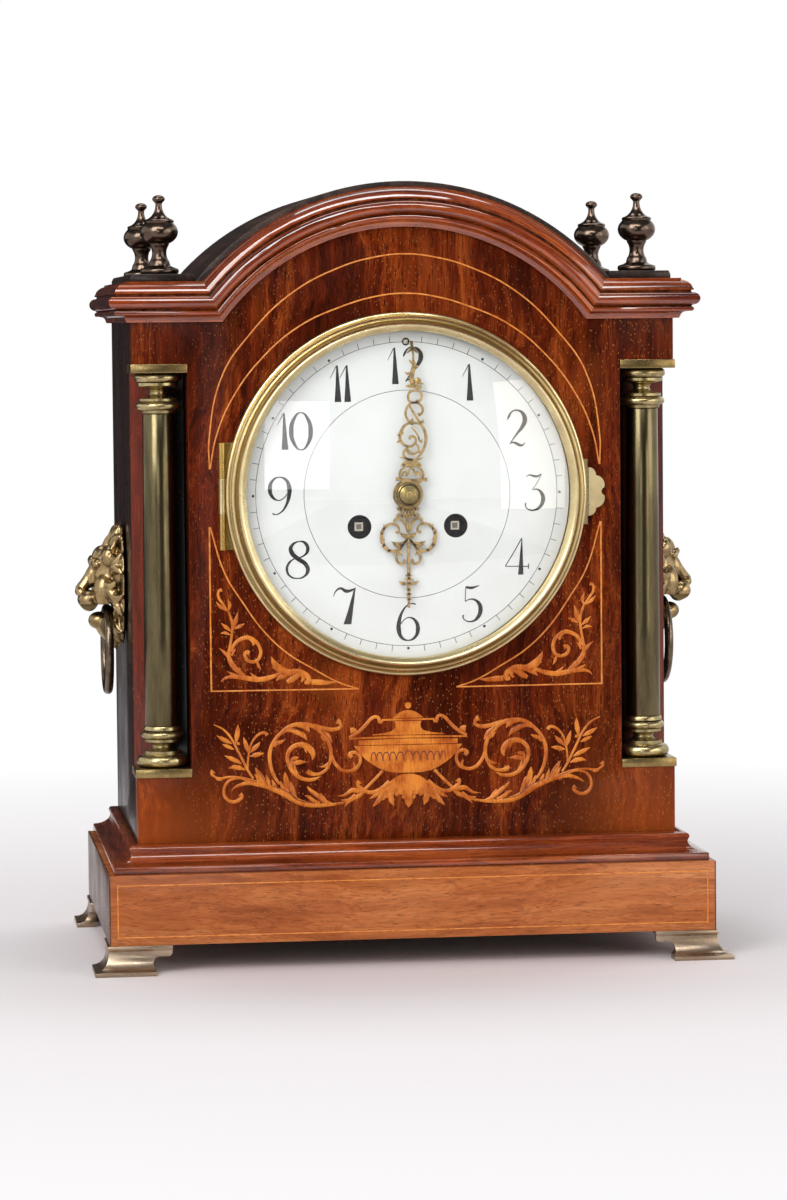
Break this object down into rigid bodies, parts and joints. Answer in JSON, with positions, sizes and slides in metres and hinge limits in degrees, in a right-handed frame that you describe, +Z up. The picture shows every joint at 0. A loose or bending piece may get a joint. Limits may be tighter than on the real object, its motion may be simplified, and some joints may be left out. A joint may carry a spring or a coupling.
{
  "type": "table clock",
  "caption": "Table clock in an arched mahogany case with brass corner columns, ring-handled lion masks and a striking movement behind a hinged bezel and a rear door.",
  "frame": {"origin": "centre of the footprint, on the surface the feet stand on", "axes": "+X to the right seen from the dial, +Y from the dial to the rear door, +Z up"},
  "size_m": [0.298, 0.185, 0.3585],
  "materials": {
    "mahogany": "french-polished satin, deep red-brown figured grain",
    "plinth_mahogany": "french-polished satin, lighter orange-brown straight grain",
    "dark_mahogany": "darkened polish, nearly black",
    "silvered_brass": "worn, dull pale brass",
    "streaked_bronze": "patinated, streaked grey-green bronze",
    "column_brass": "aged yellow brass with dark recesses",
    "dark_bronze": "dark patinated bronze, satin",
    "lion_brass": "cast brass, worn reddish high points",
    "bezel_brass": "satin antique brass",
    "enamel": "white vitreous enamel, glossy",
    "dial_glass": "clear polished glass",
    "gilt": "gilt, darkened edges",
    "movement_brass": "satin brushed brass",
    "steel": "fine brushed steel",
    "blued_steel": "blued steel",
    "black_iron": "black japanned cast iron"
  },
  "bodies": {
    "case": {"plinth": "plinth_mahogany", "base_board": "dark_mahogany", "plinth_moulding": "mahogany", "case_front": "mahogany", "case_side_left": "mahogany", "case_side_right": "mahogany", "case_back": "dark_mahogany", "shoulder_boards": "dark_mahogany", "arched_roof": "dark_mahogany", "cornice_moulding": "mahogany", "shoulder_caps": "dark_mahogany", "finials": "dark_bronze", "bracket_feet": "silvered_brass", "column_left": "streaked_bronze", "column_right": "streaked_bronze", "column_capitals": "column_brass", "column_bases": "column_brass", "column_plates": "column_brass", "lion_mask_left": "lion_brass", "lion_mask_right": "lion_brass", "dial_pan": "movement_brass", "dial": "enamel", "movement_straps": "movement_brass", "strap_screws": "steel", "front_plate": "movement_brass", "back_plate": "movement_brass", "suspension_cock": "movement_brass", "gong": "blued_steel", "gong_stand": "black_iron", "winding_clicks": "steel", "rear_ring": "movement_brass"},
    "bezel": {"bezel_ring": "bezel_brass", "bezel_glass": "dial_glass"},
    "rear_door": {"rear_door": "movement_brass", "rear_door_glass": "dial_glass"},
    "left_ring": {"ring_handle_left": "dark_bronze"},
    "right_ring": {"ring_handle_right": "dark_bronze"},
    "centre_arbor": {"centre_wheel": "movement_brass", "cannon_pinion": "steel", "minute_hand": "gilt", "hand_nut": "gilt"},
    "hour_pipe": {"hour_wheel": "movement_brass", "hour_hand": "gilt"},
    "motion_wheel": {"minute_wheel": "movement_brass"},
    "going_barrel": {"going_barrel": "movement_brass"},
    "going_key_arbor": {"going_winding_arbor": "steel"},
    "going_second": {"going_second_wheel": "movement_brass"},
    "third": {"third_wheel": "movement_brass"},
    "escape": {"escape_wheel": "movement_brass"},
    "anchor": {"anchor": "steel"},
    "pendulum": {"pendulum_rod": "steel", "pendulum_bob": "movement_brass"},
    "strike_barrel": {"strike_barrel": "movement_brass"},
    "strike_key_arbor": {"strike_winding_arbor": "steel"},
    "strike_second": {"strike_second_wheel": "movement_brass"},
    "pin_arbor": {"pin_wheel": "movement_brass"},
    "warning": {"warning_wheel": "movement_brass"},
    "fly": {"fly": "movement_brass"},
    "hammer": {"hammer": "steel"},
    "regulator": {"regulator_arbor": "steel"}
  },
  "joints": [
    {"name": "bezel_hinge", "type": "hinge", "parent": "case", "child": "bezel", "pos_m": [-0.0849, -0.0671, 0.2155], "axis": [0, 0, -1], "range_deg": [0, 110]},
    {"name": "rear_door_hinge", "type": "hinge", "parent": "case", "child": "rear_door", "pos_m": [0.0736, 0.0887, 0.2155], "axis": [0, 0, -1], "range_deg": [0, 120]},
    {"name": "left_ring_swing", "type": "hinge", "parent": "case", "child": "left_ring", "pos_m": [-0.13364, 0.0105, 0.16022], "axis": [0, 1, 0], "range_deg": [0, 75]},
    {"name": "right_ring_swing", "type": "hinge", "parent": "case", "child": "right_ring", "pos_m": [0.13364, 0.0105, 0.16022], "axis": [0, -1, 0], "range_deg": [0, 75]},
    {"name": "minute_hand_turn", "type": "hinge", "parent": "case", "child": "centre_arbor", "pos_m": [0, -0.0645, 0.2155], "axis": [0, 1, 0], "continuous": true},
    {"name": "hour_hand_turn", "type": "hinge", "parent": "case", "child": "hour_pipe", "pos_m": [0, -0.0645, 0.2155], "axis": [0, 1, 0], "continuous": true},
    {"name": "motion_wheel_turn", "type": "hinge", "parent": "case", "child": "motion_wheel", "pos_m": [0, -0.0645, 0.2035], "axis": [0, 1, 0], "continuous": true},
    {"name": "going_barrel_turn", "type": "hinge", "parent": "case", "child": "going_barrel", "pos_m": [0.0222, -0.0645, 0.2008], "axis": [0, 1, 0], "continuous": true},
    {"name": "going_winding", "type": "hinge", "parent": "case", "child": "going_key_arbor", "pos_m": [0.0222, -0.0645, 0.2008], "axis": [0, 1, 0], "range_deg": [0, 1800]},
    {"name": "going_second_turn", "type": "hinge", "parent": "case", "child": "going_second", "pos_m": [0.01435, -0.0645, 0.22135], "axis": [0, 1, 0], "continuous": true},
    {"name": "third_wheel_turn", "type": "hinge", "parent": "case", "child": "third", "pos_m": [-0.00257, -0.0645, 0.23008], "axis": [0, 1, 0], "continuous": true},
    {"name": "escape_wheel_turn", "type": "hinge", "parent": "case", "child": "escape", "pos_m": [0, -0.0645, 0.24241], "axis": [0, 1, 0], "continuous": true},
    {"name": "pendulum_swing", "type": "hinge", "parent": "case", "child": "pendulum", "pos_m": [0, -0.0066, 0.25701], "axis": [0, 1, 0], "range_deg": [-3, 3]},
    {"name": "anchor_rock", "type": "hinge", "parent": "case", "child": "anchor", "pos_m": [0, -0.0645, 0.25701], "axis": [0, 1, 0], "range_deg": [-3, 3]},
    {"name": "strike_barrel_turn", "type": "hinge", "parent": "case", "child": "strike_barrel", "pos_m": [-0.0222, -0.0645, 0.2008], "axis": [0, 1, 0], "continuous": true},
    {"name": "strike_winding", "type": "hinge", "parent": "case", "child": "strike_key_arbor", "pos_m": [-0.0222, -0.0645, 0.2008], "axis": [0, 1, 0], "range_deg": [0, 1800]},
    {"name": "strike_second_turn", "type": "hinge", "parent": "case", "child": "strike_second", "pos_m": [-0.0332, -0.0645, 0.21985], "axis": [0, 1, 0], "continuous": true},
    {"name": "pin_wheel_turn", "type": "hinge", "parent": "case", "child": "pin_arbor", "pos_m": [-0.02545, -0.0645, 0.23328], "axis": [0, 1, 0], "continuous": true},
    {"name": "warning_wheel_turn", "type": "hinge", "parent": "case", "child": "warning", "pos_m": [-0.01689, -0.0645, 0.24348], "axis": [0, 1, 0], "continuous": true},
    {"name": "fly_turn", "type": "hinge", "parent": "case", "child": "fly", "pos_m": [-0.01853, -0.0645, 0.25279], "axis": [0, 1, 0], "continuous": true},
    {"name": "hammer_swing", "type": "hinge", "parent": "case", "child": "hammer", "pos_m": [-0.03844, -0.0645, 0.24078], "axis": [0, 1, 0], "range_deg": [0, 12]},
    {"name": "regulator_turn", "type": "hinge", "parent": "case", "child": "regulator", "pos_m": [0, -0.0645, 0.2851], "axis": [0, 1, 0], "range_deg": [-720, 720]}
  ],
  "couplings": [
    {"joint": "hour_hand_turn", "follows": "minute_hand_turn", "ratio": 0.083333},
    {"joint": "motion_wheel_turn", "follows": "minute_hand_turn", "ratio": -0.33333},
    {"joint": "going_second_turn", "follows": "minute_hand_turn", "ratio": -0.19231},
    {"joint": "going_barrel_turn", "follows": "minute_hand_turn", "ratio": 0.024655},
    {"joint": "third_wheel_turn", "follows": "minute_hand_turn", "ratio": -6.4},
    {"joint": "escape_wheel_turn", "follows": "minute_hand_turn", "ratio": 38.4},
    {"joint": "anchor_rock", "follows": "pendulum_swing", "ratio": 1},
    {"joint": "strike_second_turn", "follows": "pin_wheel_turn", "ratio": -0.19231},
    {"joint": "strike_barrel_turn", "follows": "pin_wheel_turn", "ratio": 0.024655},
    {"joint": "warning_wheel_turn", "follows": "pin_wheel_turn", "ratio": -6.4},
    {"joint": "fly_turn", "follows": "pin_wheel_turn", "ratio": 38.4}
  ]
}
